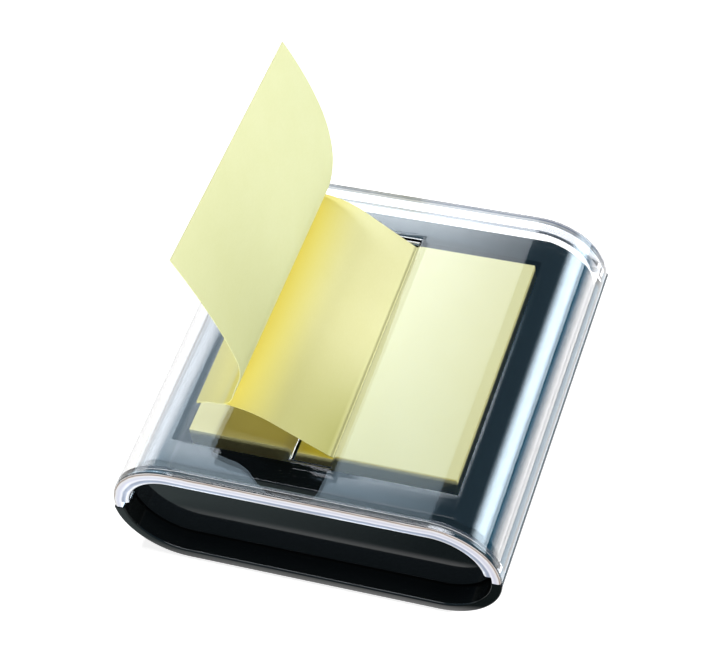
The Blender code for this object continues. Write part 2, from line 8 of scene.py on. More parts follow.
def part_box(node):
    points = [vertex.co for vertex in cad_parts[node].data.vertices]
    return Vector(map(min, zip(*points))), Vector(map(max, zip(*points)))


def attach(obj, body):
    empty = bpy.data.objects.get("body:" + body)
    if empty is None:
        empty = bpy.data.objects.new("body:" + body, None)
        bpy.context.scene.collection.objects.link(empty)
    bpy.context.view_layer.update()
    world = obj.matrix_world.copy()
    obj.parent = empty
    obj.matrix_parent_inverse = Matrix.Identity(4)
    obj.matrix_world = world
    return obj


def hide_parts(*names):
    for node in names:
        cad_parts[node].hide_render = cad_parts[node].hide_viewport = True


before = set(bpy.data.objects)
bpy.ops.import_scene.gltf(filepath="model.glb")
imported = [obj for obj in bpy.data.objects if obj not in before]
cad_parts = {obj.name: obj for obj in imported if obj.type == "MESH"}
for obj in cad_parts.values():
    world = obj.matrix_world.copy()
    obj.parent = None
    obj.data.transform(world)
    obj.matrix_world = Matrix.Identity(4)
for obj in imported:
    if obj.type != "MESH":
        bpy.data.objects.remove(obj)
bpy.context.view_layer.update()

# Base: the lower half of a flattened tube with half-round sides, open at both ends. It is moulded in
# gloss black plastic, with bosses for four screws, seats for four feet and a fence for the ballast plate.
base_low, base_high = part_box("base_shell")
cover_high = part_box("clear_cover")[1]
plate_low, plate_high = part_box("ballast_plate")
COVER_INSET = 0.0003
BASE_WALL = 0.0032
BASE_EDGE_ROUND = 0.0006
RUNNING_GAP = 0.0003
CUT_OVERRUN = 0.002
RABBET_EDGE = 0.0019
RABBET_DEPTH = 0.0026
LIP_DEPTH = 0.0040
BOSS_DIAMETER = 0.0084
BOSS_HEIGHT = 0.0030
SHANK_HOLE_DIAMETER = 0.0032
HEAD_HOLE_DIAMETER = 0.0060
HEAD_HOLE_DEPTH = 0.0020
FENCE_THICKNESS = 0.0014
FENCE_HEIGHT = 0.0034
FENCE_REACH = 0.0140
SIDE_STEPS = 48
ROUND_SIDES = 40
EDGE_SEGMENTS = 3
EDGE_ANGLE = math.radians(50)
SMOOTH_DEGREES = 32
SAME_PLACE = 0.00002
CORNERS = range(1, 5)
GLOSS_BLACK = (0.0028, 0.0034, 0.0036)
DUST_COLOR = (0.35, 0.36, 0.36)
DUST_SHARE = 0.86
SPECK_EDGE = 0.04
HAIRLINE_RANGE = (0.55, 0.75)
BLACK_IOR = 1.52
BLACK_RIPPLE = 0.00002
BODY_DEPTH = base_high.y - base_low.y
FOOT_STAND = base_low.z
PARTING_Z = base_high.z
SIDE_RADIUS = (cover_high.z + COVER_INSET - FOOT_STAND) / 2
MID_Z = FOOT_STAND + SIDE_RADIUS
SIDE_CENTRE_X = base_high.x - math.sqrt(SIDE_RADIUS ** 2 - (PARTING_Z - MID_Z) ** 2)
BODY_WIDTH = 2 * (SIDE_CENTRE_X + SIDE_RADIUS)
FLOOR_Z = FOOT_STAND + BASE_WALL


def pick_faces(piece, wanted):
    """Goes into edit mode and selects only the faces whose middle and normal are wanted."""
    bpy.ops.object.mode_set(mode="EDIT")
    bpy.ops.mesh.select_mode(type="FACE")
    bpy.ops.mesh.select_all(action="DESELECT")
    shape = bmesh.from_edit_mesh(piece.data)
    for face in shape.faces:
        if wanted(face.calc_center_median(), face.normal):
            face.select_set(True)
    bmesh.update_edit_mesh(piece.data)


def pick_edges(piece, wanted):
    """Goes into edit mode and selects only the edges whose two ends are wanted."""
    bpy.ops.object.mode_set(mode="EDIT")
    bpy.ops.mesh.select_mode(type="EDGE")
    bpy.ops.mesh.select_all(action="DESELECT")
    shape = bmesh.from_edit_mesh(piece.data)
    for edge in shape.edges:
        if wanted(edge.verts[0].co, edge.verts[1].co):
            edge.select_set(True)
    bmesh.update_edit_mesh(piece.data)


def leave_edit(piece):
    bpy.ops.object.mode_set(mode="OBJECT")
    return piece


def name_new(name):
    """The primitive that was just added, named and with its place put into its mesh."""
    piece = bpy.context.object
    piece.name = name
    piece.data.name = name
    bpy.ops.object.transform_apply(location=True, rotation=True, scale=True)
    return piece


def add_sheet(name, width, length, centre):
    bpy.ops.object.select_all(action="DESELECT")
    bpy.ops.mesh.primitive_plane_add(size=1.0, location=centre)
    bpy.context.object.scale = (width, length, 1.0)
    return name_new(name)


def add_block(name, size, centre):
    bpy.ops.object.select_all(action="DESELECT")
    bpy.ops.mesh.primitive_cube_add(size=1.0, location=centre)
    bpy.context.object.scale = size
    return name_new(name)


def add_peg(name, diameter, height, centre):
    bpy.ops.object.select_all(action="DESELECT")
    bpy.ops.mesh.primitive_cylinder_add(
        vertices=ROUND_SIDES, radius=diameter / 2, depth=height, location=centre)
    return name_new(name)


def finish_with(piece, kind, **settings):
    """Adds a modifier with these settings and applies it."""
    bpy.ops.object.select_all(action="DESELECT")
    piece.select_set(True)
    bpy.context.view_layer.objects.active = piece
    modifier = piece.modifiers.new(kind.title(), kind)
    for setting, value in settings.items():
        setattr(modifier, setting, value)
    bpy.ops.object.modifier_apply(modifier=modifier.name)
    return piece


def round_edges(piece, width):
    """Rounds the edges that are sharper than the edge angle."""
    finish_with(
        piece, "BEVEL", width=width, segments=EDGE_SEGMENTS, limit_method="ANGLE", angle_limit=EDGE_ANGLE)


def cut_or_join(piece, other, operation="DIFFERENCE"):
    """Cuts another shape out of the piece or joins it on, and removes that shape."""
    finish_with(piece, "BOOLEAN", operation=operation, solver="EXACT", object=other)
    bpy.data.objects.remove(other, do_unlink=True)


def half_tube(name, radius, length, upwards, flat_z, end_z):
    """Open sheet from a flat top or underside round both half-round sides, as far as a height."""
    start = math.asin(max(-1.0, min(1.0, abs(flat_z - MID_Z) / radius)))
    half_width = SIDE_CENTRE_X + radius * math.cos(start)
    sweep = start - math.asin(upwards * (end_z - MID_Z) / radius)
    sheet = add_sheet(name, 2 * half_width, length, (0, 0, flat_z))
    for side in (-1, 1):
        pick_edges(sheet, lambda a, b: min(a.x * side, b.x * side) > half_width - SAME_PLACE)
        bpy.ops.mesh.spin(
            steps=SIDE_STEPS, angle=sweep,
            center=(side * SIDE_CENTRE_X, 0, MID_Z), axis=(0, -side * upwards, 0))
    bpy.ops.mesh.select_all(action="SELECT")
    bpy.ops.mesh.remove_doubles(threshold=SAME_PLACE / 2)
    bpy.ops.mesh.normals_make_consistent(inside=False)
    leave_edit(sheet)
    flat = max(sheet.data.polygons, key=lambda face: face.area)
    if flat.normal.z * upwards < 0:
        bpy.ops.object.mode_set(mode="EDIT")
        bpy.ops.mesh.select_all(action="SELECT")
        bpy.ops.mesh.flip_normals()
    return leave_edit(sheet)


def shade(piece, degrees=SMOOTH_DEGREES):
    """Smooth shading, broken at the sharp edges and led by the large faces."""
    bpy.ops.object.select_all(action="DESELECT")
    piece.select_set(True)
    bpy.context.view_layer.objects.active = piece
    bpy.ops.object.shade_smooth_by_angle(angle=math.radians(degrees))
    return finish_with(piece, "WEIGHTED_NORMAL", keep_sharp=True)


def dress(piece, *materials):
    """Gives the piece these materials in place of any that it has."""
    piece.data.materials.clear()
    for material in materials:
        piece.data.materials.append(material)


def new_material(name, color, roughness, metallic=0.0):
    """Material and its Principled shader, with the colour, roughness and metallic set."""
    material = bpy.data.materials.new(name)
    material.use_nodes = True
    shader = material.node_tree.nodes["Principled BSDF"]
    shader.inputs["Base Color"].default_value = (*color, 1.0)
    shader.inputs["Roughness"].default_value = roughness
    shader.inputs["Metallic"].default_value = metallic
    return material, shader


def add_node(tree, kind, inputs=None, **settings):
    """Node in a tree. Inputs are values to set, or sockets to link."""
    node = tree.nodes.new(kind)
    for setting, value in settings.items():
        setattr(node, setting, value)
    for key, value in (inputs or {}).items():
        if isinstance(value, bpy.types.NodeSocket):
            tree.links.new(value, node.inputs[key])
        else:
            node.inputs[key].default_value = value
    return node


def calculate(tree, operation, *terms):
    """Output of a math node. Each term is a number or a socket."""
    return add_node(tree, "ShaderNodeMath", dict(enumerate(terms)), operation=operation).outputs[0]


def mix_colors(tree, factor, low, high):
    """Output of a colour mix. Each end is red, green and blue, or a socket."""
    ends = [end if isinstance(end, bpy.types.NodeSocket) else (*end, 1.0) for end in (low, high)]
    mix = add_node(
        tree, "ShaderNodeMix", {"Factor": factor, "A": ends[0], "B": ends[1]}, data_type="RGBA")
    return mix.outputs["Result"]


def ramp_over(tree, value, ends, levels=(0.0, 1.0), shape="LINEAR"):
    """Output that goes from one level to the other while the value goes from one end to the other."""
    ramp = add_node(tree, "ShaderNodeMapRange", {
        "Value": value, "From Min": ends[0], "From Max": ends[1], "To Min": levels[0], "To Max": levels[1]},
        interpolation_type=shape)
    return ramp.outputs[0]


def new_group(name, inputs, outputs):
    """Shader node group with a vector, float inputs and their defaults, and float outputs."""
    group = bpy.data.node_groups.new(name, "ShaderNodeTree")
    group.interface.new_socket(name="Vector", in_out="INPUT", socket_type="NodeSocketVector")
    for label, default in inputs.items():
        socket = group.interface.new_socket(name=label, in_out="INPUT", socket_type="NodeSocketFloat")
        socket.default_value = default
    for label in outputs:
        group.interface.new_socket(name=label, in_out="OUTPUT", socket_type="NodeSocketFloat")
    return group, group.nodes.new("NodeGroupInput"), group.nodes.new("NodeGroupOutput")


def add_group(tree, group, vector, **values):
    """A group placed in a material, with its vector and this material's own values."""
    node = tree.nodes.new("ShaderNodeGroup")
    node.node_tree = group
    tree.links.new(vector, node.inputs["Vector"])
    for label, value in values.items():
        node.inputs[label.replace("_", " ")].default_value = value
    return node


def moulded_skin():
    """Surface of moulded plastic: faint ripple, hairline scratches and a little dust."""
    group, entry, out = new_group(
        "moulded_skin",
        {"Ripple Scale": 60.0, "Scratch Scale": 220.0, "Base Roughness": 0.1, "Roughness Spread": 0.06,
         "Dust Scale": 900.0, "Dust Size": 0.06},
        ("Roughness", "Height", "Dust"))
    ripple = add_node(group, "ShaderNodeTexNoise", {
        "Vector": entry.outputs["Vector"], "Scale": entry.outputs["Ripple Scale"], "Detail": 1.0})
    stretch = add_node(group, "ShaderNodeMapping", {
        "Vector": entry.outputs["Vector"], "Rotation": (0.3, 0.2, 0.5), "Scale": (1.0, 0.04, 1.0)})
    scratch = add_node(group, "ShaderNodeTexNoise", {
        "Vector": stretch.outputs[0], "Scale": entry.outputs["Scratch Scale"], "Detail": 4.0})
    hairline = ramp_over(group, scratch.outputs[0], HAIRLINE_RANGE)
    wear = calculate(group, "MULTIPLY", hairline, ripple.outputs[0])
    rough = calculate(
        group, "MULTIPLY_ADD", wear, entry.outputs["Roughness Spread"], entry.outputs["Base Roughness"])
    specks = add_node(group, "ShaderNodeTexVoronoi", {
        "Vector": entry.outputs["Vector"], "Scale": entry.outputs["Dust Scale"]})
    near = calculate(group, "SUBTRACT", entry.outputs["Dust Size"], specks.outputs["Distance"])
    dot = ramp_over(group, near, (0.0, SPECK_EDGE))
    draw = add_node(group, "ShaderNodeSeparateColor", {0: specks.outputs["Color"]})
    rare = calculate(group, "GREATER_THAN", draw.outputs[0], DUST_SHARE)
    dust = calculate(group, "MULTIPLY", dot, rare)
    group.links.new(rough, out.inputs["Roughness"])
    group.links.new(ripple.outputs[0], out.inputs["Height"])
    group.links.new(dust, out.inputs["Dust"])
    return group


plastic_skin = moulded_skin()


def black_plastic(name, color, roughness, spread, dust_amount):
    """Black plastic with its moulded skin and specks of dust."""
    material, shader = new_material(name, color, roughness)
    tree = material.node_tree
    place = add_node(tree, "ShaderNodeTexCoord")
    skin = add_group(
        tree, plastic_skin, place.outputs["Object"], Base_Roughness=roughness, Roughness_Spread=spread)
    dusty = calculate(tree, "MULTIPLY", skin.outputs["Dust"], dust_amount)
    mixed = mix_colors(tree, dusty, color, DUST_COLOR)
    bump = add_node(tree, "ShaderNodeBump", {
        "Height": skin.outputs["Height"], "Strength": 0.25, "Distance": BLACK_RIPPLE})
    tree.links.new(mixed, shader.inputs["Base Color"])
    tree.links.new(skin.outputs["Roughness"], shader.inputs["Roughness"])
    tree.links.new(bump.outputs[0], shader.inputs["Normal"])
    shader.inputs["IOR"].default_value = BLACK_IOR
    return material


base = half_tube("base_moulding", SIDE_RADIUS, BODY_DEPTH, -1, FOOT_STAND, PARTING_Z)
finish_with(base, "SOLIDIFY", thickness=BASE_WALL, offset=-1.0, use_even_offset=True)
round_edges(base, BASE_EDGE_ROUND)
for side in (-1, 1):
    room = BASE_WALL - RABBET_EDGE + CUT_OVERRUN
    size = (room, BODY_DEPTH - 2 * LIP_DEPTH, RABBET_DEPTH + CUT_OVERRUN)
    centre = (side * (BODY_WIDTH / 2 - RABBET_EDGE - room / 2), 0, PARTING_Z - RABBET_DEPTH + size[2] / 2)
    cut_or_join(base, add_block("rabbet", size, centre))
screw_places = []
for number in CORNERS:
    low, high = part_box(f"core_screw_{number}")
    screw_places.append(((low.x + high.x) / 2, (low.y + high.y) / 2))
foot_places = []
for number in CORNERS:
    low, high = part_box(f"foot_{number}")
    foot_places.append(((low.x + high.x) / 2, (low.y + high.y) / 2, high.x - low.x, high.z))
boss_top_z = FLOOR_Z + BOSS_HEIGHT
for x, y in screw_places:
    height = BOSS_HEIGHT + BASE_WALL / 2
    cut_or_join(base, add_peg("boss", BOSS_DIAMETER, height, (x, y, boss_top_z - height / 2)), "UNION")
fence_inner_x = plate_high.x - plate_low.x + 2 * RUNNING_GAP
fence_inner_y = plate_high.y - plate_low.y + 2 * RUNNING_GAP
fence_outer_x = fence_inner_x + 2 * FENCE_THICKNESS
fence_outer_y = fence_inner_y + 2 * FENCE_THICKNESS
fence_height = FENCE_HEIGHT + BASE_WALL / 2
fence_middle = (0, 0, FLOOR_Z + FENCE_HEIGHT - fence_height / 2)
fence_tall = fence_height + 2 * CUT_OVERRUN
fence = add_block("fence", (fence_outer_x, fence_outer_y, fence_height), fence_middle)
for name, width, length in (
        ("fence_room", fence_inner_x, fence_inner_y),
        ("fence_gap_long", fence_outer_x + CUT_OVERRUN, fence_outer_y - 2 * FENCE_REACH),
        ("fence_gap_short", fence_outer_x - 2 * FENCE_REACH, fence_outer_y + CUT_OVERRUN)):
    cut_or_join(fence, add_block(name, (width, length, fence_tall), fence_middle))
cut_or_join(base, fence, "UNION")
for x, y in screw_places:
    cut_or_join(base, add_peg("screw_hole", SHANK_HOLE_DIAMETER, 2 * boss_top_z, (x, y, FLOOR_Z)))
    depth = HEAD_HOLE_DEPTH + CUT_OVERRUN
    cut_or_join(base, add_peg(
        "screw_sink", HEAD_HOLE_DIAMETER, depth, (x, y, FOOT_STAND + HEAD_HOLE_DEPTH - depth / 2)))
for x, y, width, top_z in foot_places:
    depth = top_z + RUNNING_GAP - FOOT_STAND + CUT_OVERRUN
    cut_or_join(base, add_peg(
        "foot_seat", width + 2 * RUNNING_GAP, depth, (x, y, top_z + RUNNING_GAP - depth / 2)))
shade(base)
dress(base, black_plastic(
    "gloss_black_plastic", GLOSS_BLACK, roughness=0.07, spread=0.10, dust_amount=0.25))
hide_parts("base_shell")
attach(base, "base")

# Ballast plate, screws and feet: a zinc-plated steel plate that lies in the fence, four pan-head screws
# driven up through the base, and four turned rubber feet glued into their seats.
ZINC = (0.56, 0.56, 0.55)
COOL_ZINC = (0.48, 0.50, 0.52)
WARM_ZINC = (0.64, 0.62, 0.56)
ZINC_ROUGHNESS = (0.24, 0.42)
RUBBER = (0.02, 0.02, 0.021)
DARK_RUBBER = (0.012, 0.012, 0.013)
WORN_RUBBER = (0.03, 0.03, 0.031)
RUBBER_GRAIN = 0.0001


def plated_steel():
    """Zinc-plated steel, with the spangle of its plating and a cloudy sheen."""
    material, shader = new_material("zinc_plate", ZINC, roughness=0.32, metallic=1.0)
    tree = material.node_tree
    place = add_node(tree, "ShaderNodeTexCoord")
    spangle = add_node(tree, "ShaderNodeTexVoronoi", {"Vector": place.outputs["Object"], "Scale": 700.0})
    rough = ramp_over(tree, spangle.outputs["Color"], (0.0, 1.0), ZINC_ROUGHNESS)
    tree.links.new(rough, shader.inputs["Roughness"])
    cloud = add_node(tree, "ShaderNodeTexNoise", {"Vector": place.outputs["Object"], "Scale": 160.0})
    hue = mix_colors(tree, cloud.outputs[0], COOL_ZINC, WARM_ZINC)
    tree.links.new(hue, shader.inputs["Base Color"])
    return material


def foot_rubber():
    """Matt black rubber with a fine grain."""
    material, shader = new_material("foot_rubber", RUBBER, roughness=0.75)
    tree = material.node_tree
    place = add_node(tree, "ShaderNodeTexCoord")
    grain = add_node(tree, "ShaderNodeTexNoise", {"Vector": place.outputs["Object"], "Scale": 2500.0})
    bump = add_node(tree, "ShaderNodeBump", {
        "Height": grain.outputs[0], "Strength": 0.4, "Distance": RUBBER_GRAIN})
    tree.links.new(bump.outputs[0], shader.inputs["Normal"])
    tone = mix_colors(tree, grain.outputs[0], DARK_RUBBER, WORN_RUBBER)
    tree.links.new(tone, shader.inputs["Base Color"])
    return material


def repaint(node_name, material):
    """Gives a CAD node its finish through its material slots."""
    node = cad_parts[node_name]
    if not node.material_slots:
        node.data.materials.append(material)
    for slot in node.material_slots:
        slot.material = material


steel = plated_steel()
rubber = foot_rubber()
repaint("ballast_plate", steel)
for number in CORNERS:
    repaint(f"core_screw_{number}", steel)
    repaint(f"foot_{number}", rubber)

# Core: a black satin moulding that stands in the base on four posts. It has a flat deck between
# half-round sides, an end panel set back from each mouth of the tube, and the well for the pad.
core_low, core_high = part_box("note_well")
pad_low, pad_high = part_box("note_pad")
CORE_INSET = BASE_WALL + RUNNING_GAP
CORE_WALL = 0.0020
END_WALL = 0.0024
SKIRT_DROP = 0.0034
CORE_EDGE_ROUND = 0.0005
WELL_WIDTH = 0.0812
WELL_LENGTH = 0.0826
WELL_WALL = 0.0016
WELL_FLOOR = 0.0016
RIM_WIDTH = 0.0019
RIM_DROP = 0.0004
POST_DIAMETER = 0.0072
RIB_THICKNESS = 0.0020
RIB_SPACING = 0.0240
PILOT_DEPTH = 0.0067
SATIN_BLACK = (0.0040, 0.0052, 0.0060)
FACING = 0.5
DECK_Z = core_high.z
CORE_LENGTH = core_high.y - core_low.y
core_radius = SIDE_RADIUS - CORE_INSET
well_floor_z = pad_low.z - RUNNING_GAP
well_underside_z = well_floor_z - WELL_FLOOR


def closed_tube(name, radius, length, flat_z):
    """Solid stadium with a flat top, closed at both ends."""
    tube = half_tube(name, radius, length, 1, flat_z, MID_Z - radius)
    pick_edges(tube, lambda a, b: max(a.z, b.z) < MID_Z - radius + SAME_PLACE and abs(a.x - b.x) < SAME_PLACE)
    bpy.ops.mesh.bridge_edge_loops()
    for end in (-1, 1):
        pick_edges(tube, lambda a, b: min(a.y * end, b.y * end) > length / 2 - SAME_PLACE)
        bpy.ops.mesh.edge_face_add()
    bpy.ops.mesh.select_all(action="SELECT")
    bpy.ops.mesh.normals_make_consistent(inside=False)
    return leave_edit(tube)


def is_top(middle, normal):
    """Whether a face looks up. Its middle doesn't matter."""
    return normal.z > FACING


def extrude_up(rise):
    """Extrudes the selected faces straight up. A rise of zero makes new faces in the same place."""
    bpy.ops.mesh.extrude_region_move(TRANSFORM_OT_translate={"value": (0, 0, rise)})


core = closed_tube("core_moulding", core_radius, CORE_LENGTH, DECK_Z)
round_edges(core, CORE_EDGE_ROUND)
room_length = CORE_LENGTH - 2 * END_WALL
cut_or_join(core, closed_tube("core_room", core_radius - CORE_WALL, room_length, DECK_Z - CORE_WALL))
skirt_z = PARTING_Z - SKIRT_DROP
cut_or_join(core, add_block(
    "core_underside", (BODY_WIDTH, room_length, skirt_z - FOOT_STAND), (0, 0, (skirt_z + FOOT_STAND) / 2)))
well_height = DECK_Z - CORE_WALL / 2 - well_underside_z
cut_or_join(core, add_block(
    "well_walls", (WELL_WIDTH + 2 * WELL_WALL, WELL_LENGTH + 2 * WELL_WALL, well_height),
    (0, 0, well_underside_z + well_height / 2)), "UNION")
post_bottom_z = boss_top_z + RUNNING_GAP
for x, y in screw_places:
    height = well_underside_z + WELL_FLOOR / 2 - post_bottom_z
    cut_or_join(core, add_peg("post", POST_DIAMETER, height, (x, y, post_bottom_z + height / 2)), "UNION")
rib_bottom_z = plate_high.z + RUNNING_GAP
for side in (-1, 1):
    height = well_underside_z + WELL_FLOOR / 2 - rib_bottom_z
    cut_or_join(core, add_block(
        "rib", (plate_high.x - plate_low.x, RIB_THICKNESS, height),
        (0, side * RIB_SPACING / 2, rib_bottom_z + height / 2)), "UNION")
for x, y in screw_places:
    depth = PILOT_DEPTH + CUT_OVERRUN
    cut_or_join(core, add_peg(
        "pilot", SHANK_HOLE_DIAMETER, depth, (x, y, post_bottom_z + PILOT_DEPTH - depth / 2)))
mouth = add_block(
    "well_mouth", (WELL_WIDTH, WELL_LENGTH, DECK_Z - well_floor_z), (0, 0, (DECK_Z + well_floor_z) / 2))
pick_faces(mouth, is_top)
extrude_up(CUT_OVERRUN)
flare = 2 * RIM_WIDTH * (1 + CUT_OVERRUN / RIM_DROP)
bpy.ops.transform.resize(
    value=((WELL_WIDTH + flare) / WELL_WIDTH, (WELL_LENGTH + flare) / WELL_LENGTH, 1.0))
pick_edges(mouth, lambda a, b: max(abs(a.z - DECK_Z), abs(b.z - DECK_Z)) < SAME_PLACE)
bpy.ops.transform.translate(value=(0, 0, -RIM_DROP))
leave_edit(mouth)
cut_or_join(core, mouth)
shade(core)
dress(core, black_plastic(
    "satin_black_plastic", SATIN_BLACK, roughness=0.06, spread=0.06, dust_amount=0.5))
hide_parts("note_well")
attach(core, "base")

# Pad: a stack of folded yellow notes, each glued at its edge to the next one. It is made as packets of
# leaves whose edges stand a hair in or out, and it lies loose in the well.
LEAF_PACKETS = 20
LEAF_STAGGER = 0.00014
LEAF_CREASE = 0.00005
STAGGER_STEPS = 3
NOTE_SIDE = pad_high.x - pad_low.x
PAPER_TOOTH = 0.00008
PAPER_SPECULAR = 0.25
HALF_BOUNCE = 0.5
# The colour that paper shows to mirror rays: a painted dark reflection
PAINTED_DARK_REFLECTION = (0.003, 0.008, 0.007)
# Painted shade beside the slot, and the painted golden glow below the fold
SHADED_PAPER = (0.40, 0.40, 0.12)
PAINTED_GOLDEN_GLOW = (0.80, 0.73, 0.22)
FIBRE_RANGE = (0.35, 0.65)

# Where a single sheet gets a painted shade beside the slot, and a painted golden glow between its fold and
# the glue strip
SHADE_LEVELS = (0.1, 0.9)
SHADE_X = (-0.024, 0.005)
SHADE_Y = (0.008, -0.034)
SHADE_Z = (0.0356, 0.0372)
GLOW_X = (-0.008, -0.023)
GLOW_EDGE_X = (-0.0242, -0.0230)
GLOW_TOP_Z = (0.0575, 0.0550)


def paper_fibres():
    """Uncoated paper: cloudy formation, short fibres and a faint tooth."""
    group, entry, out = new_group(
        "paper_fibres", {"Cloud Scale": 130.0, "Fibre Scale": 2600.0},
        ("Tone", "Height"))
    cloud = add_node(group, "ShaderNodeTexNoise", {
        "Vector": entry.outputs["Vector"], "Scale": entry.outputs["Cloud Scale"], "Detail": 3.0})
    stretch = add_node(group, "ShaderNodeMapping", {
        "Vector": entry.outputs["Vector"], "Rotation": (0.2, 0.5, 0.7), "Scale": (1.0, 0.35, 1.0)})
    fibre = add_node(group, "ShaderNodeTexNoise", {
        "Vector": stretch.outputs[0], "Scale": entry.outputs["Fibre Scale"], "Detail": 2.0})
    tone = calculate(group, "ADD", cloud.outputs[0], fibre.outputs[0])
    half = calculate(group, "MULTIPLY", tone, 0.5)
    group.links.new(half, out.inputs["Tone"])
    group.links.new(fibre.outputs[0], out.inputs["Height"])
    return group


paper_texture = paper_fibres()


def has_bounced(tree, rays, kind):
    """One for a ray that has had a glossy or a diffuse bounce before, and zero for any other."""
    return calculate(tree, "GREATER_THAN", rays.outputs[f"{kind} Depth"], HALF_BOUNCE)


def let_lamps_through(tree, rays, shader, color):
    """Makes a surface transparent, in this colour, to the rays that look for a lamp."""
    sheer = add_node(tree, "ShaderNodeBsdfTransparent", {"Color": (*color, 1.0)})
    blend = add_node(tree, "ShaderNodeMixShader", {
        0: rays.outputs["Is Shadow Ray"], 1: shader.outputs[0], 2: sheer.outputs[0]})
    tree.links.new(blend.outputs[0], tree.nodes["Material Output"].inputs["Surface"])


def painted_slot_shade_and_fold_glow(tree, place, tone):
    """Painted shade on the second note where the slot pinches it, and a painted golden glow below its fold.
    """
    parts = add_node(tree, "ShaderNodeSeparateXYZ", {0: place.outputs["Object"]})
    by_slot = ramp_over(tree, parts.outputs["X"], SHADE_X, SHADE_LEVELS)
    by_end = ramp_over(tree, parts.outputs["Y"], SHADE_Y, shape="SMOOTHSTEP")
    painted_slot_shade = calculate(tree, "MULTIPLY", by_slot, by_end)
    risen = ramp_over(tree, parts.outputs["Z"], SHADE_Z)
    painted_slot_shade = calculate(tree, "MULTIPLY", painted_slot_shade, risen)
    # Painted shade beside the slot
    tone = mix_colors(tree, painted_slot_shade, tone, SHADED_PAPER)
    # Painted golden glow below the fold
    by_fold = ramp_over(tree, parts.outputs["X"], GLOW_X, shape="SMOOTHSTEP")
    before_strip = ramp_over(tree, parts.outputs["X"], GLOW_EDGE_X)
    below_fold = ramp_over(tree, parts.outputs["Z"], GLOW_TOP_Z)
    painted_fold_glow = calculate(tree, "MULTIPLY", by_fold, before_strip)
    painted_fold_glow = calculate(tree, "MULTIPLY", painted_fold_glow, below_fold)
    return mix_colors(tree, painted_fold_glow, tone, PAINTED_GOLDEN_GLOW)


def yellow_paper(name, light, dark, through=None):
    """Canary paper whose reflections are painted dark. A single sheet has painted shade by the slot and a
    painted glow below its fold, and lets the lamps through.
    """
    material, shader = new_material(name, light, roughness=0.8)
    tree = material.node_tree
    place = add_node(tree, "ShaderNodeTexCoord")
    fibres = add_group(tree, paper_texture, place.outputs["Object"])
    span = ramp_over(tree, fibres.outputs["Tone"], FIBRE_RANGE)
    tone = mix_colors(tree, span, dark, light)
    bump = add_node(tree, "ShaderNodeBump", {
        "Height": fibres.outputs["Height"], "Strength": 0.18, "Distance": PAPER_TOOTH})
    if through:
        tone = painted_slot_shade_and_fold_glow(tree, place, tone)
    rays = add_node(tree, "ShaderNodeLightPath")
    # Mirror rays see the paper painted nearly black and without specular: a painted dark reflection
    mirrored = has_bounced(tree, rays, "Glossy")
    painted_reflection_tone = mix_colors(tree, mirrored, tone, PAINTED_DARK_REFLECTION)
    tree.links.new(painted_reflection_tone, shader.inputs["Base Color"])
    tree.links.new(bump.outputs[0], shader.inputs["Normal"])
    specular = calculate(tree, "SUBTRACT", 1.0, mirrored)
    specular = calculate(tree, "MULTIPLY", specular, PAPER_SPECULAR)
    tree.links.new(specular, shader.inputs["Specular IOR Level"])
    if through:
        let_lamps_through(tree, rays, shader, through)
    return material


packet_rise = (pad_high.z - pad_low.z) / LEAF_PACKETS
pad = add_block(
    "pad_of_notes", (NOTE_SIDE, pad_high.y - pad_low.y, packet_rise),
    ((pad_low.x + pad_high.x) / 2, (pad_low.y + pad_high.y) / 2, pad_low.z + packet_rise / 2))
pick_faces(pad, is_top)
for packet in range(1, LEAF_PACKETS):
    narrow = (NOTE_SIDE - LEAF_STAGGER * (1 + packet % STAGGER_STEPS)) / NOTE_SIDE
    for share, rise in ((narrow, LEAF_CREASE), (1 / narrow, packet_rise - LEAF_CREASE)):
        extrude_up(0)
        bpy.ops.transform.resize(value=(share, share, 1.0))
        extrude_up(rise)
leave_edit(pad)
dress(pad, yellow_paper("pad_paper", light=(0.86, 0.82, 0.40), dark=(0.84, 0.80, 0.37)))
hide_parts("note_pad")
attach(pad, "base")

# Cover: the upper half of the tube in clear plastic. A thick rounded lip stiffens each end, and a thin
# tongue along each side drops behind the edge of the base. The slot for the notes has a rolled upper edge.
# Its wall is given a painted dark shade, and the cut-off ends painted bands of light.
COVER_WALL = 0.0025
COVER_EDGE_ROUND = 0.0011
LIP_WALL = 0.0048
LIP_END_RISE = 0.0030
LIP_ROUND = 0.0011
SLOT_WIDTH = 0.0104
SLOT_LENGTH = 0.0806
SLOT_SHIFT_Y = -0.0010
SLOT_ROUND = 0.0023
TONGUE_THICKNESS = 0.0009
TONGUE_DROP = 0.0022
TONGUE_ROOT = 0.0040
LIP_SEGMENTS = 5
SLOT_SEGMENTS = 8
COVER_SMOOTH_DEGREES = 28
ON_SURFACE = 4 * SAME_PLACE
END_MARGIN = 0.0007
END_FACING = 0.6
WALL_FACING = 0.25
PAINTED_LIGHT_END_INDEX = 1
PAINTED_SHADE_WALL_INDEX = 2
CLEAR_IOR = 1.49
CLEAR_RIPPLE = 0.00003
CLEAR_TINT = (0.972, 0.978, 0.988)
CLEAR_TO_LAMPS = (0.98, 0.985, 0.985)
PAINTED_END_LIGHT_COLOR = (0.90, 0.90, 0.96)
SLOT_WALL_PAINTED_SHADE = (0.12, 0.18, 0.21)
BAND_WANDER = 0.16
COVER_BOTTOM_Z = PARTING_Z + RUNNING_GAP
COVER_TOP_Z = cover_high.z
cover_radius = SIDE_RADIUS - COVER_INSET
half_depth = BODY_DEPTH / 2
lip_y = half_depth - LIP_DEPTH
lip_end_z = COVER_BOTTOM_Z + LIP_END_RISE


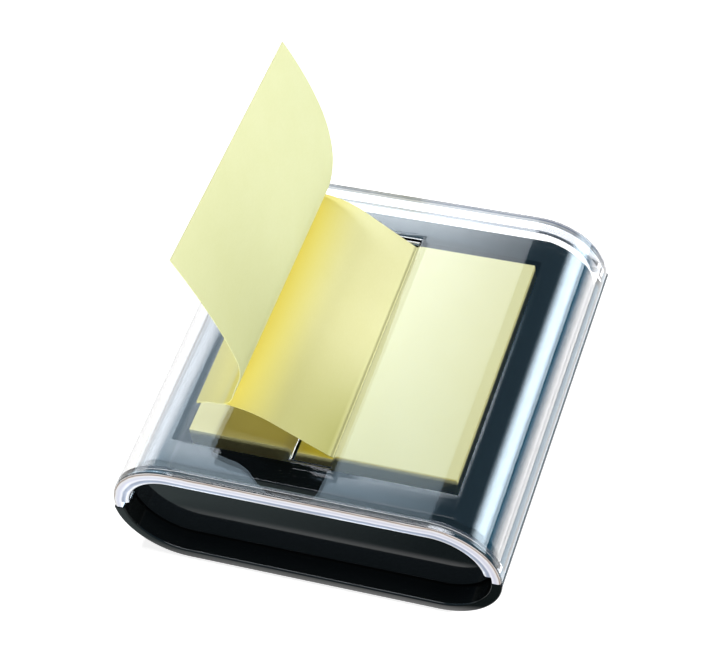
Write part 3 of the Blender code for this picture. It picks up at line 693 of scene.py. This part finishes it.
def slice_all(piece, place, normal):
    """Cuts an edge line through the whole mesh along a plane."""
    bpy.ops.object.mode_set(mode="EDIT")
    bpy.ops.mesh.select_all(action="SELECT")
    bpy.ops.mesh.bisect(plane_co=place, plane_no=normal)
    bpy.ops.object.mode_set(mode="OBJECT")


def depth_inside(point):
    """How far a point lies inside the outer form of the body."""
    if abs(point.x) < SIDE_CENTRE_X:
        return SIDE_RADIUS - abs(point.z - MID_Z)
    return SIDE_RADIUS - math.hypot(abs(point.x) - SIDE_CENTRE_X, point.z - MID_Z)


def round_off(piece, width, segments, wanted):
    """Rounds the edges whose two ends are wanted."""
    pick_edges(piece, lambda a, b: wanted(a) and wanted(b))
    bpy.ops.mesh.bevel(offset=width, segments=segments, affect="EDGES", clamp_overlap=False)
    leave_edit(piece)


cover = half_tube("cover_moulding", cover_radius, BODY_DEPTH, 1, COVER_TOP_Z, COVER_BOTTOM_Z)
slot_near_y = SLOT_SHIFT_Y - SLOT_LENGTH / 2
slot_far_y = SLOT_SHIFT_Y + SLOT_LENGTH / 2
for x in (-SLOT_WIDTH / 2, SLOT_WIDTH / 2):
    slice_all(cover, (x, 0, 0), (1, 0, 0))
for y in (-lip_y, slot_near_y, slot_far_y, lip_y):
    slice_all(cover, (0, y, 0), (0, 1, 0))
slice_all(cover, (0, 0, lip_end_z), (0, 0, 1))
pick_faces(cover, lambda middle, normal: (
    abs(middle.x) < SLOT_WIDTH / 2 and slot_near_y < middle.y < slot_far_y))
bpy.ops.mesh.delete(type="FACE")
leave_edit(cover)
finish_with(cover, "SOLIDIFY", thickness=COVER_WALL, offset=-1.0, use_even_offset=True)
inner_depth = COVER_INSET + COVER_WALL
pick_faces(cover, lambda middle, normal: (
    abs(middle.y) > lip_y and middle.z > lip_end_z
    and abs(normal.y) < FACING and depth_inside(middle) > (COVER_INSET + inner_depth) / 2))
bpy.ops.mesh.extrude_region_shrink_fatten(TRANSFORM_OT_shrink_fatten={"value": LIP_WALL - COVER_WALL})
leave_edit(cover)
round_off(cover, COVER_EDGE_ROUND, LIP_SEGMENTS, lambda point: (
    abs(point.y) > half_depth - SAME_PLACE and depth_inside(point) < COVER_INSET + ON_SURFACE))
round_off(cover, LIP_ROUND, LIP_SEGMENTS, lambda point: (
    depth_inside(point) > COVER_INSET + LIP_WALL - ON_SURFACE))
round_off(cover, SLOT_ROUND, SLOT_SEGMENTS, lambda point: (
    point.z > COVER_TOP_Z - SAME_PLACE and abs(point.x) < SLOT_WIDTH / 2 + SAME_PLACE
    and slot_near_y - SAME_PLACE < point.y < slot_far_y + SAME_PLACE))
for side in (-1, 1):
    middle_x = side * (BODY_WIDTH / 2 - RABBET_EDGE - RUNNING_GAP - TONGUE_THICKNESS / 2)
    size = (TONGUE_THICKNESS, 2 * lip_y - 2 * RUNNING_GAP, TONGUE_DROP + TONGUE_ROOT)
    centre = (middle_x, 0, COVER_BOTTOM_Z - TONGUE_DROP + size[2] / 2)
    cut_or_join(cover, add_block("tongue", size, centre), "UNION")
shade(cover, COVER_SMOOTH_DEGREES)


def clear_plastic():
    """Polished clear plastic with faint flow lines and hairlines. Rays to the lamps pass straight on."""
    material, shader = new_material("clear_plastic", CLEAR_TINT, roughness=0.0)
    tree = material.node_tree
    place = add_node(tree, "ShaderNodeTexCoord")
    skin = add_group(
        tree, plastic_skin, place.outputs["Object"],
        Ripple_Scale=45.0, Scratch_Scale=160.0, Base_Roughness=0.0, Roughness_Spread=0.05)
    bump = add_node(tree, "ShaderNodeBump", {
        "Height": skin.outputs["Height"], "Strength": 0.2, "Distance": CLEAR_RIPPLE})
    tree.links.new(skin.outputs["Roughness"], shader.inputs["Roughness"])
    tree.links.new(bump.outputs[0], shader.inputs["Normal"])
    shader.inputs["IOR"].default_value = CLEAR_IOR
    shader.inputs["Transmission Weight"].default_value = 1.0
    rays = add_node(tree, "ShaderNodeLightPath")
    let_lamps_through(tree, rays, shader, CLEAR_TO_LAMPS)
    return material


# Painted bands of light on the end face, highlight and reflection: how far in from the outer edge, as a share
# of the lip's wall, and the colour
PAINTED_END_LIGHT_BANDS = (
    (0.02, (0.92, 0.92, 0.93)),
    (0.10, (0.26, 0.18, 0.13)),
    (0.16, (0.80, 0.78, 0.80)),
    (0.34, (0.64, 0.64, 0.76)),
    (0.50, (0.88, 0.88, 0.95)),
    (0.60, (0.30, 0.34, 0.44)),
    (0.74, (0.40, 0.43, 0.54)),
    (0.84, (0.95, 0.95, 0.97)),
    (0.98, (0.50, 0.55, 0.64)),
)


def clear_plastic_end_painted_light():
    """Cut-off end of the clear plastic, painted with bands of light along the edge that stand in for the
    light the sheet gathers.
    """
    material, shader = new_material("clear_plastic_end_painted_light", PAINTED_END_LIGHT_COLOR, roughness=0.12)
    tree = material.node_tree
    place = add_node(tree, "ShaderNodeTexCoord")
    parts = add_node(tree, "ShaderNodeSeparateXYZ", {0: place.outputs["Object"]})
    across = calculate(tree, "ABSOLUTE", parts.outputs["X"])
    across = calculate(tree, "SUBTRACT", across, SIDE_CENTRE_X)
    across = calculate(tree, "MAXIMUM", across, 0.0)
    upwards = calculate(tree, "SUBTRACT", parts.outputs["Z"], MID_Z)
    flat = add_node(tree, "ShaderNodeCombineXYZ", {0: across, 1: upwards})
    reach = add_node(tree, "ShaderNodeVectorMath", {0: flat.outputs[0]}, operation="LENGTH")
    depth = ramp_over(tree, reach.outputs["Value"], (cover_radius, cover_radius - LIP_WALL))
    wander = add_node(tree, "ShaderNodeMapping", {
        "Vector": place.outputs["Object"], "Scale": (0.4, 0.4, 1.0)})
    wave = add_node(tree, "ShaderNodeTexNoise", {
        "Vector": wander.outputs[0], "Scale": 180.0, "Detail": 3.0})
    offset = calculate(tree, "MULTIPLY_ADD", wave.outputs[0], BAND_WANDER, -BAND_WANDER / 2)
    band_at = calculate(tree, "ADD", depth, offset)
    tone = add_node(tree, "ShaderNodeValToRGB", {"Fac": band_at})
    bands = tone.color_ramp
    for share, color in PAINTED_END_LIGHT_BANDS:
        band = bands.elements.new(share)
        band.color = (*color, 1.0)
    bands.elements.remove(bands.elements[0])
    bands.elements.remove(bands.elements[-1])
    tree.links.new(tone.outputs[0], shader.inputs["Base Color"])
    shader.inputs["Transmission Weight"].default_value = 0.2
    shader.inputs["IOR"].default_value = CLEAR_IOR
    return material


def clear_plastic_cut_painted_shade():
    """Wall of the slot, painted a dark smoky colour: painted shade for the dark of the inside, seen from
    above.
    """
    material, shader = new_material("clear_plastic_cut_painted_shade", SLOT_WALL_PAINTED_SHADE, roughness=0.08)
    shader.inputs["Transmission Weight"].default_value = 0.6
    shader.inputs["IOR"].default_value = CLEAR_IOR
    return material


dress(cover, clear_plastic(), clear_plastic_end_painted_light(), clear_plastic_cut_painted_shade())
for face in cover.data.polygons:
    place = face.center
    # Cut-off ends take the painted bands of light.
    if abs(place.y) > half_depth - END_MARGIN and abs(face.normal.y) > END_FACING:
        face.material_index = PAINTED_LIGHT_END_INDEX
    # Slot wall: painted dark shade.
    by_slot = abs(place.x) < SLOT_WIDTH / 2 + SLOT_ROUND and abs(place.y) < SLOT_LENGTH / 2 + SLOT_ROUND
    if by_slot and place.z > MID_Z and abs(face.normal.z) < WALL_FACING:
        face.material_index = PAINTED_SHADE_WALL_INDEX
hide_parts("clear_cover")
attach(cover, "cover")

# Drawn notes: the second note lies on the pad, turns up through the slot and hangs over to the left. The
# first note is still glued to its end and stands up. Both are single sheets of the pad's paper.
NOTE_THICKNESS = 0.0002
PAD_SHIFT_X = (pad_high.x + pad_low.x) / 2
PAD_SHIFT_Y = (pad_high.y + pad_low.y) / 2
SECOND_NOTE_NEAR_SHARES = ((0.081, -37.0), (0.390, -1.0), (0.296, 28.0), (0.233, 36.0))
SECOND_NOTE_FAR_SHARES = ((0.081, -43.0), (0.390, -1.0), (0.296, 36.0), (0.233, 13.0))
FIRST_NOTE_NEAR_SHARES = ((0.109, 64.0), (0.131, -4.0), (0.164, 31.0), (0.240, 6.0), (0.356, 6.0))
FIRST_NOTE_FAR_SHARES = ((0.109, 71.0), (0.131, 8.0), (0.164, 9.0), (0.240, 12.0), (0.356, 12.0))
FIRST_NOTE_LEAN = 0.0061
SLOT_BEND_LEAD = 0.0014
SECOND_NOTE_STEPS = 80
FIRST_NOTE_STEPS = 112
GLUE_STEPS = 12
CURL_LEAD_STEPS = 2
NOTE_ROWS = 24
NOTE_SMOOTH_DEGREES = 40
TUCKED_Z = pad_high.z + RUNNING_GAP + NOTE_THICKNESS / 2


def turn_at(table, share):
    """Degrees for each whole length that the paper turns at this share of it."""
    for length, turn in table:
        if share <= length:
            return turn / length
        share -= length
    return 0.0


def bent_line(start, direction, table, length, steps):
    """Line of a note's edge in X and Z, from its start and first direction, turned by a table."""
    x, z = start
    points = [start]
    for step in range(steps):
        turn = math.radians(turn_at(table, (step + 0.5) / steps)) / steps
        direction += turn / 2
        x += length / steps * math.cos(direction)
        z += length / steps * math.sin(direction)
        direction += turn / 2
        points.append((x, z))
    return points


def second_note_line(table):
    """One side of the second note: flat on the pad as far as the slot, and then bent by its table."""
    start_x = PAD_SHIFT_X + NOTE_SIDE / 2
    bend_x = SLOT_WIDTH / 2 + SLOT_BEND_LEAD
    free_length = NOTE_SIDE - (start_x - bend_x)
    risen = bent_line((bend_x, TUCKED_Z), math.pi, table, free_length, SECOND_NOTE_STEPS)
    return [(start_x, TUCKED_Z)] + risen


def first_note_line(table, below):
    """One side of the first note: a glue strip along the line below, and then bent by its table."""
    lift = RUNNING_GAP + NOTE_THICKNESS
    strip = [(x, z + lift) for x, z in reversed(below[-GLUE_STEPS - 1:])]
    last = strip[-1]
    before = strip[-1 - CURL_LEAD_STEPS]
    direction = math.atan2(last[1] - before[1], last[0] - before[0])
    glued_length = sum(math.dist(here, after) for here, after in zip(strip, strip[1:]))
    return strip[:-1] + bent_line(last, direction, table, NOTE_SIDE - glued_length, FIRST_NOTE_STEPS)


def draw_line(points):
    """Extrudes the selected vertex from point to point."""
    for here, after in zip(points, points[1:]):
        bpy.ops.mesh.extrude_vertices_move(TRANSFORM_OT_translate={"value": after - here})


def make_note(name, near_line, far_line, lean):
    """Sheet of paper: both side edges are drawn, bridged with rows between, and given a thickness."""
    near_y = PAD_SHIFT_Y - NOTE_SIDE / 2
    far_y = PAD_SHIFT_Y + NOTE_SIDE / 2
    last = len(near_line) - 1
    near = [Vector((x, near_y - lean * index / last, z)) for index, (x, z) in enumerate(near_line)]
    far = [Vector((x, far_y - lean * index / last, z)) for index, (x, z) in enumerate(far_line)]
    note = add_sheet(name, NOTE_THICKNESS, NOTE_THICKNESS, near[0])
    bpy.ops.object.mode_set(mode="EDIT")
    bpy.ops.mesh.select_mode(type="VERT")
    bpy.ops.mesh.select_all(action="SELECT")
    bpy.ops.mesh.merge(type="CENTER")
    bpy.ops.mesh.duplicate_move(TRANSFORM_OT_translate={"value": far[0] - near[0]})
    draw_line(far)
    bpy.ops.mesh.select_all(action="DESELECT")
    shape = bmesh.from_edit_mesh(note.data)
    shape.verts.ensure_lookup_table()
    shape.verts[0].select_set(True)
    bmesh.update_edit_mesh(note.data)
    draw_line(near)
    bpy.ops.mesh.select_mode(type="EDGE")
    bpy.ops.mesh.select_all(action="SELECT")
    bpy.ops.mesh.bridge_edge_loops(number_cuts=NOTE_ROWS, interpolation="LINEAR")
    bpy.ops.mesh.select_all(action="SELECT")
    bpy.ops.mesh.normals_make_consistent(inside=False)
    leave_edit(note)
    finish_with(note, "SOLIDIFY", thickness=NOTE_THICKNESS, offset=0.0)
    return shade(note, NOTE_SMOOTH_DEGREES)


note_paper = yellow_paper(
    "note_paper", light=(0.81, 0.80, 0.45), dark=(0.79, 0.78, 0.42), through=(0.62, 0.56, 0.03))
second_near = second_note_line(SECOND_NOTE_NEAR_SHARES)
second_far = second_note_line(SECOND_NOTE_FAR_SHARES)
second = make_note("second_sheet", second_near, second_far, 0.0)
first = make_note(
    "first_sheet", first_note_line(FIRST_NOTE_NEAR_SHARES, second_near),
    first_note_line(FIRST_NOTE_FAR_SHARES, second_far), FIRST_NOTE_LEAN)
for sheet, node, body in ((second, "second_note", "cover"), (first, "first_note", "pulled_note")):
    dress(sheet, note_paper)
    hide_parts(node)
    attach(sheet, body)

# Studio: a white table and surround, and three lamps for the paper. What the gloss surfaces mirror is
# painted by direction, as soft panels on a dark ground, and the table has a mirror image of its own: a
# dark card in front of the near end and a blue fade at the far right.
FLOOR_SIZE = 6.0
LAMP_DISTANCE = 1.3
WHITE = (1.0, 1.0, 1.0)
TABLE_WHITE = (0.86, 0.86, 0.86)
TABLE_GLOW_REACH = (0.25, 1.0)
TABLE_GLOW = (0.7, 1.0)
MIRRORED_GLOW_X = (-0.05, 0.05)
MIRRORED_GLOW = (0.45, 1.5)
CARD_EDGE_Y = -0.0555
CARD_SOFTNESS = 0.004
CARD_LEFT = (0.34, 0.42, 0.42)
CARD_RIGHT = (0.03, 0.05, 0.05)
FAR_RIGHT_X = (0.100, 0.150)
FAR_RIGHT_COLOR = (0.15, 0.50, 0.80)


def floor_white():
    """White table that glows more with its distance. Mirror rays see the card and the blue fade instead."""
    material, shader = new_material("table_white", TABLE_WHITE, roughness=0.9)
    tree = material.node_tree
    rays = add_node(tree, "ShaderNodeLightPath")
    bounces = calculate(tree, "ADD", rays.outputs["Diffuse Depth"], rays.outputs["Glossy Depth"])
    direct = calculate(tree, "LESS_THAN", bounces, HALF_BOUNCE)
    place = add_node(tree, "ShaderNodeTexCoord")
    parts = add_node(tree, "ShaderNodeSeparateXYZ", {0: place.outputs["Object"]})
    open_table = ramp_over(tree, parts.outputs["Y"], (CARD_EDGE_Y - CARD_SOFTNESS, CARD_EDGE_Y))
    card_fade = ramp_over(tree, parts.outputs["X"], (-BODY_WIDTH / 2, BODY_WIDTH / 4))
    card = mix_colors(tree, card_fade, CARD_LEFT, CARD_RIGHT)
    far_right = ramp_over(tree, parts.outputs["X"], FAR_RIGHT_X)
    table = mix_colors(tree, far_right, TABLE_WHITE, FAR_RIGHT_COLOR)
    mirrored = mix_colors(tree, open_table, card, table)
    color = mix_colors(tree, direct, mirrored, TABLE_WHITE)
    near_right = ramp_over(tree, parts.outputs["X"], FAR_RIGHT_X, (1.0, 0.0))
    lit = calculate(tree, "MULTIPLY", open_table, near_right)
    level = ramp_over(tree, parts.outputs["X"], MIRRORED_GLOW_X, MIRRORED_GLOW)
    lit = calculate(tree, "MULTIPLY", lit, level)
    glossy = has_bounced(tree, rays, "Glossy")
    reach = add_node(tree, "ShaderNodeVectorMath", {0: place.outputs["Object"]}, operation="LENGTH")
    white = ramp_over(tree, reach.outputs["Value"], TABLE_GLOW_REACH, TABLE_GLOW)
    glow = add_node(tree, "ShaderNodeMix", {"Factor": glossy, "A": white, "B": lit}, data_type="FLOAT")
    shader.inputs["Emission Color"].default_value = (*WHITE, 1.0)
    shader.inputs["Specular IOR Level"].default_value = 0.0
    tree.links.new(color, shader.inputs["Base Color"])
    tree.links.new(glow.outputs[0], shader.inputs["Emission Strength"])
    material.cycles.emission_sampling = "NONE"
    return material


floor = add_sheet("table", FLOOR_SIZE, FLOOR_SIZE, (0, 0, 0))
dress(floor, floor_white())

# Each panel: azimuth clockwise from +Y, its half width and the softness of its sides, elevation, its half
# height and the softness of its top and bottom, all in degrees, its tilt and its colour times its brightness.
MIRRORED_PANELS = (
    ((-56.0, 33.0, 5.0), (26.0, 29.0, 6.0), 0.0, (1.5, 2.0, 2.4)),
    ((-29.0, 9.0, 8.0), (40.0, 9.5, 8.0), 0.0, (4.6, 5.1, 5.5)),
    ((-17.0, 40.0, 20.0), (4.0, 13.0, 6.0), 0.0, (3.0, 3.2, 3.4)),
    ((-62.0, 34.0, 3.0), (6.0, 10.0, 5.0), 0.0, (1.8, 1.95, 2.1)),
    ((-70.0, 27.0, 6.0), (1.0, 9.0, 3.0), 1.1, (3.7, 4.0, 4.3)),
    ((52.0, 22.0, 8.0), (9.0, 13.0, 14.0), 0.0, (6.4, 7.8, 8.8)),
    ((0.0, 190.0, 4.0), (90.0, 26.0, 4.0), 0.0, (3.2, 3.3, 3.5)),
)
HORIZON_DEGREES = 3.0
HORIZON_COLOR = (0.95, 0.98, 1.0)
DARK_GROUND = (0.10, 0.20, 0.28)
AMBIENT = (0.07, 0.07, 0.07)
world = bpy.data.worlds.new("studio")
bpy.context.scene.world = world
world.use_nodes = True
world.cycles.sampling_method = "NONE"
tree = world.node_tree
tree.nodes.clear()
rays = add_node(tree, "ShaderNodeLightPath")
way = add_node(tree, "ShaderNodeTexCoord")
parts = add_node(tree, "ShaderNodeSeparateXYZ", {0: way.outputs["Generated"]})
azimuth = calculate(tree, "ARCTAN2", parts.outputs["X"], parts.outputs["Y"])
azimuth = calculate(tree, "DEGREES", azimuth)
elevation = calculate(tree, "ARCSINE", parts.outputs["Z"])
elevation = calculate(tree, "DEGREES", elevation)
horizon = ramp_over(tree, elevation, (0.0, HORIZON_DEGREES), (1.0, 0.0), "SMOOTHSTEP")
mirrored = mix_colors(tree, horizon, DARK_GROUND, HORIZON_COLOR)
for across, upwards, tilt, panel_color in MIRRORED_PANELS:
    rise = calculate(tree, "SUBTRACT", azimuth, across[0])
    rise = calculate(tree, "MULTIPLY_ADD", rise, -tilt, elevation)
    masks = []
    for angle, (middle, half, softness) in ((azimuth, across), (rise, upwards)):
        off = calculate(tree, "SUBTRACT", angle, middle)
        off = calculate(tree, "ABSOLUTE", off)
        sides = (half - softness / 2, half + softness / 2)
        masks.append(ramp_over(tree, off, sides, (1.0, 0.0), "SMOOTHSTEP"))
    mask = calculate(tree, "MULTIPLY", *masks)
    mirrored = mix_colors(tree, mask, mirrored, panel_color)
glossy = has_bounced(tree, rays, "Glossy")
scattered = has_bounced(tree, rays, "Diffuse")
surround = mix_colors(tree, glossy, WHITE, mirrored)
surround = mix_colors(tree, scattered, surround, AMBIENT)
glow = add_node(tree, "ShaderNodeBackground", {"Color": surround, "Strength": 1.0})
add_node(tree, "ShaderNodeOutputWorld", {"Surface": glow.outputs[0]})


def add_lamp(name, azimuth, elevation, size, brightness):
    """Soft box that looks at the body. It lights the paper and stays out of all mirrors."""
    turn = math.radians(azimuth)
    rise = math.radians(elevation)
    way = Vector((math.sin(turn) * math.cos(rise), math.cos(turn) * math.cos(rise), math.sin(rise)))
    place = Vector((0, 0, MID_Z)) + way * LAMP_DISTANCE
    bpy.ops.object.select_all(action="DESELECT")
    bpy.ops.object.light_add(type="AREA", location=place, rotation=way.to_track_quat("Z", "Y").to_euler())
    lamp = bpy.context.object
    lamp.name = name
    lamp.data.shape = "SQUARE"
    lamp.data.size = size
    lamp.data.energy = brightness * math.pi ** 2 * LAMP_DISTANCE ** 2
    lamp.visible_glossy = False
    lamp.visible_transmission = False


add_lamp("key_lamp", azimuth=290, elevation=76, size=0.18, brightness=0.50)
add_lamp("fill_lamp", azimuth=92, elevation=30, size=0.40, brightness=0.66)
add_lamp("front_lamp", azimuth=182, elevation=9, size=0.40, brightness=0.85)

# Camera: the place that the photo was taken from and the way its frame lies. Both are fitted to the
# corners of the body, the pad and the notes.
CAMERA_PLACE = (0.19397, -0.38936, 0.56094)
CAMERA_RIGHT = Vector((0.94341, 0.30960, -0.11882))
CAMERA_DOWN = Vector((0.16835, -0.75582, -0.63276))
CAMERA_LENS = 123.19
CAMERA_SENSOR = 36.0
CAMERA_NEAR = 0.01
bpy.ops.object.camera_add()
camera = bpy.context.object
camera.name = "camera"
forward = CAMERA_RIGHT.cross(CAMERA_DOWN)
axes = Matrix((CAMERA_RIGHT, -CAMERA_DOWN, -forward)).transposed()
camera.matrix_world = Matrix.Translation(CAMERA_PLACE) @ axes.to_4x4()
camera.data.sensor_width = CAMERA_SENSOR
camera.data.lens = CAMERA_LENS
camera.data.clip_start = CAMERA_NEAR
bpy.context.scene.camera = camera
bpy.context.scene.view_settings.view_transform = "Standard"
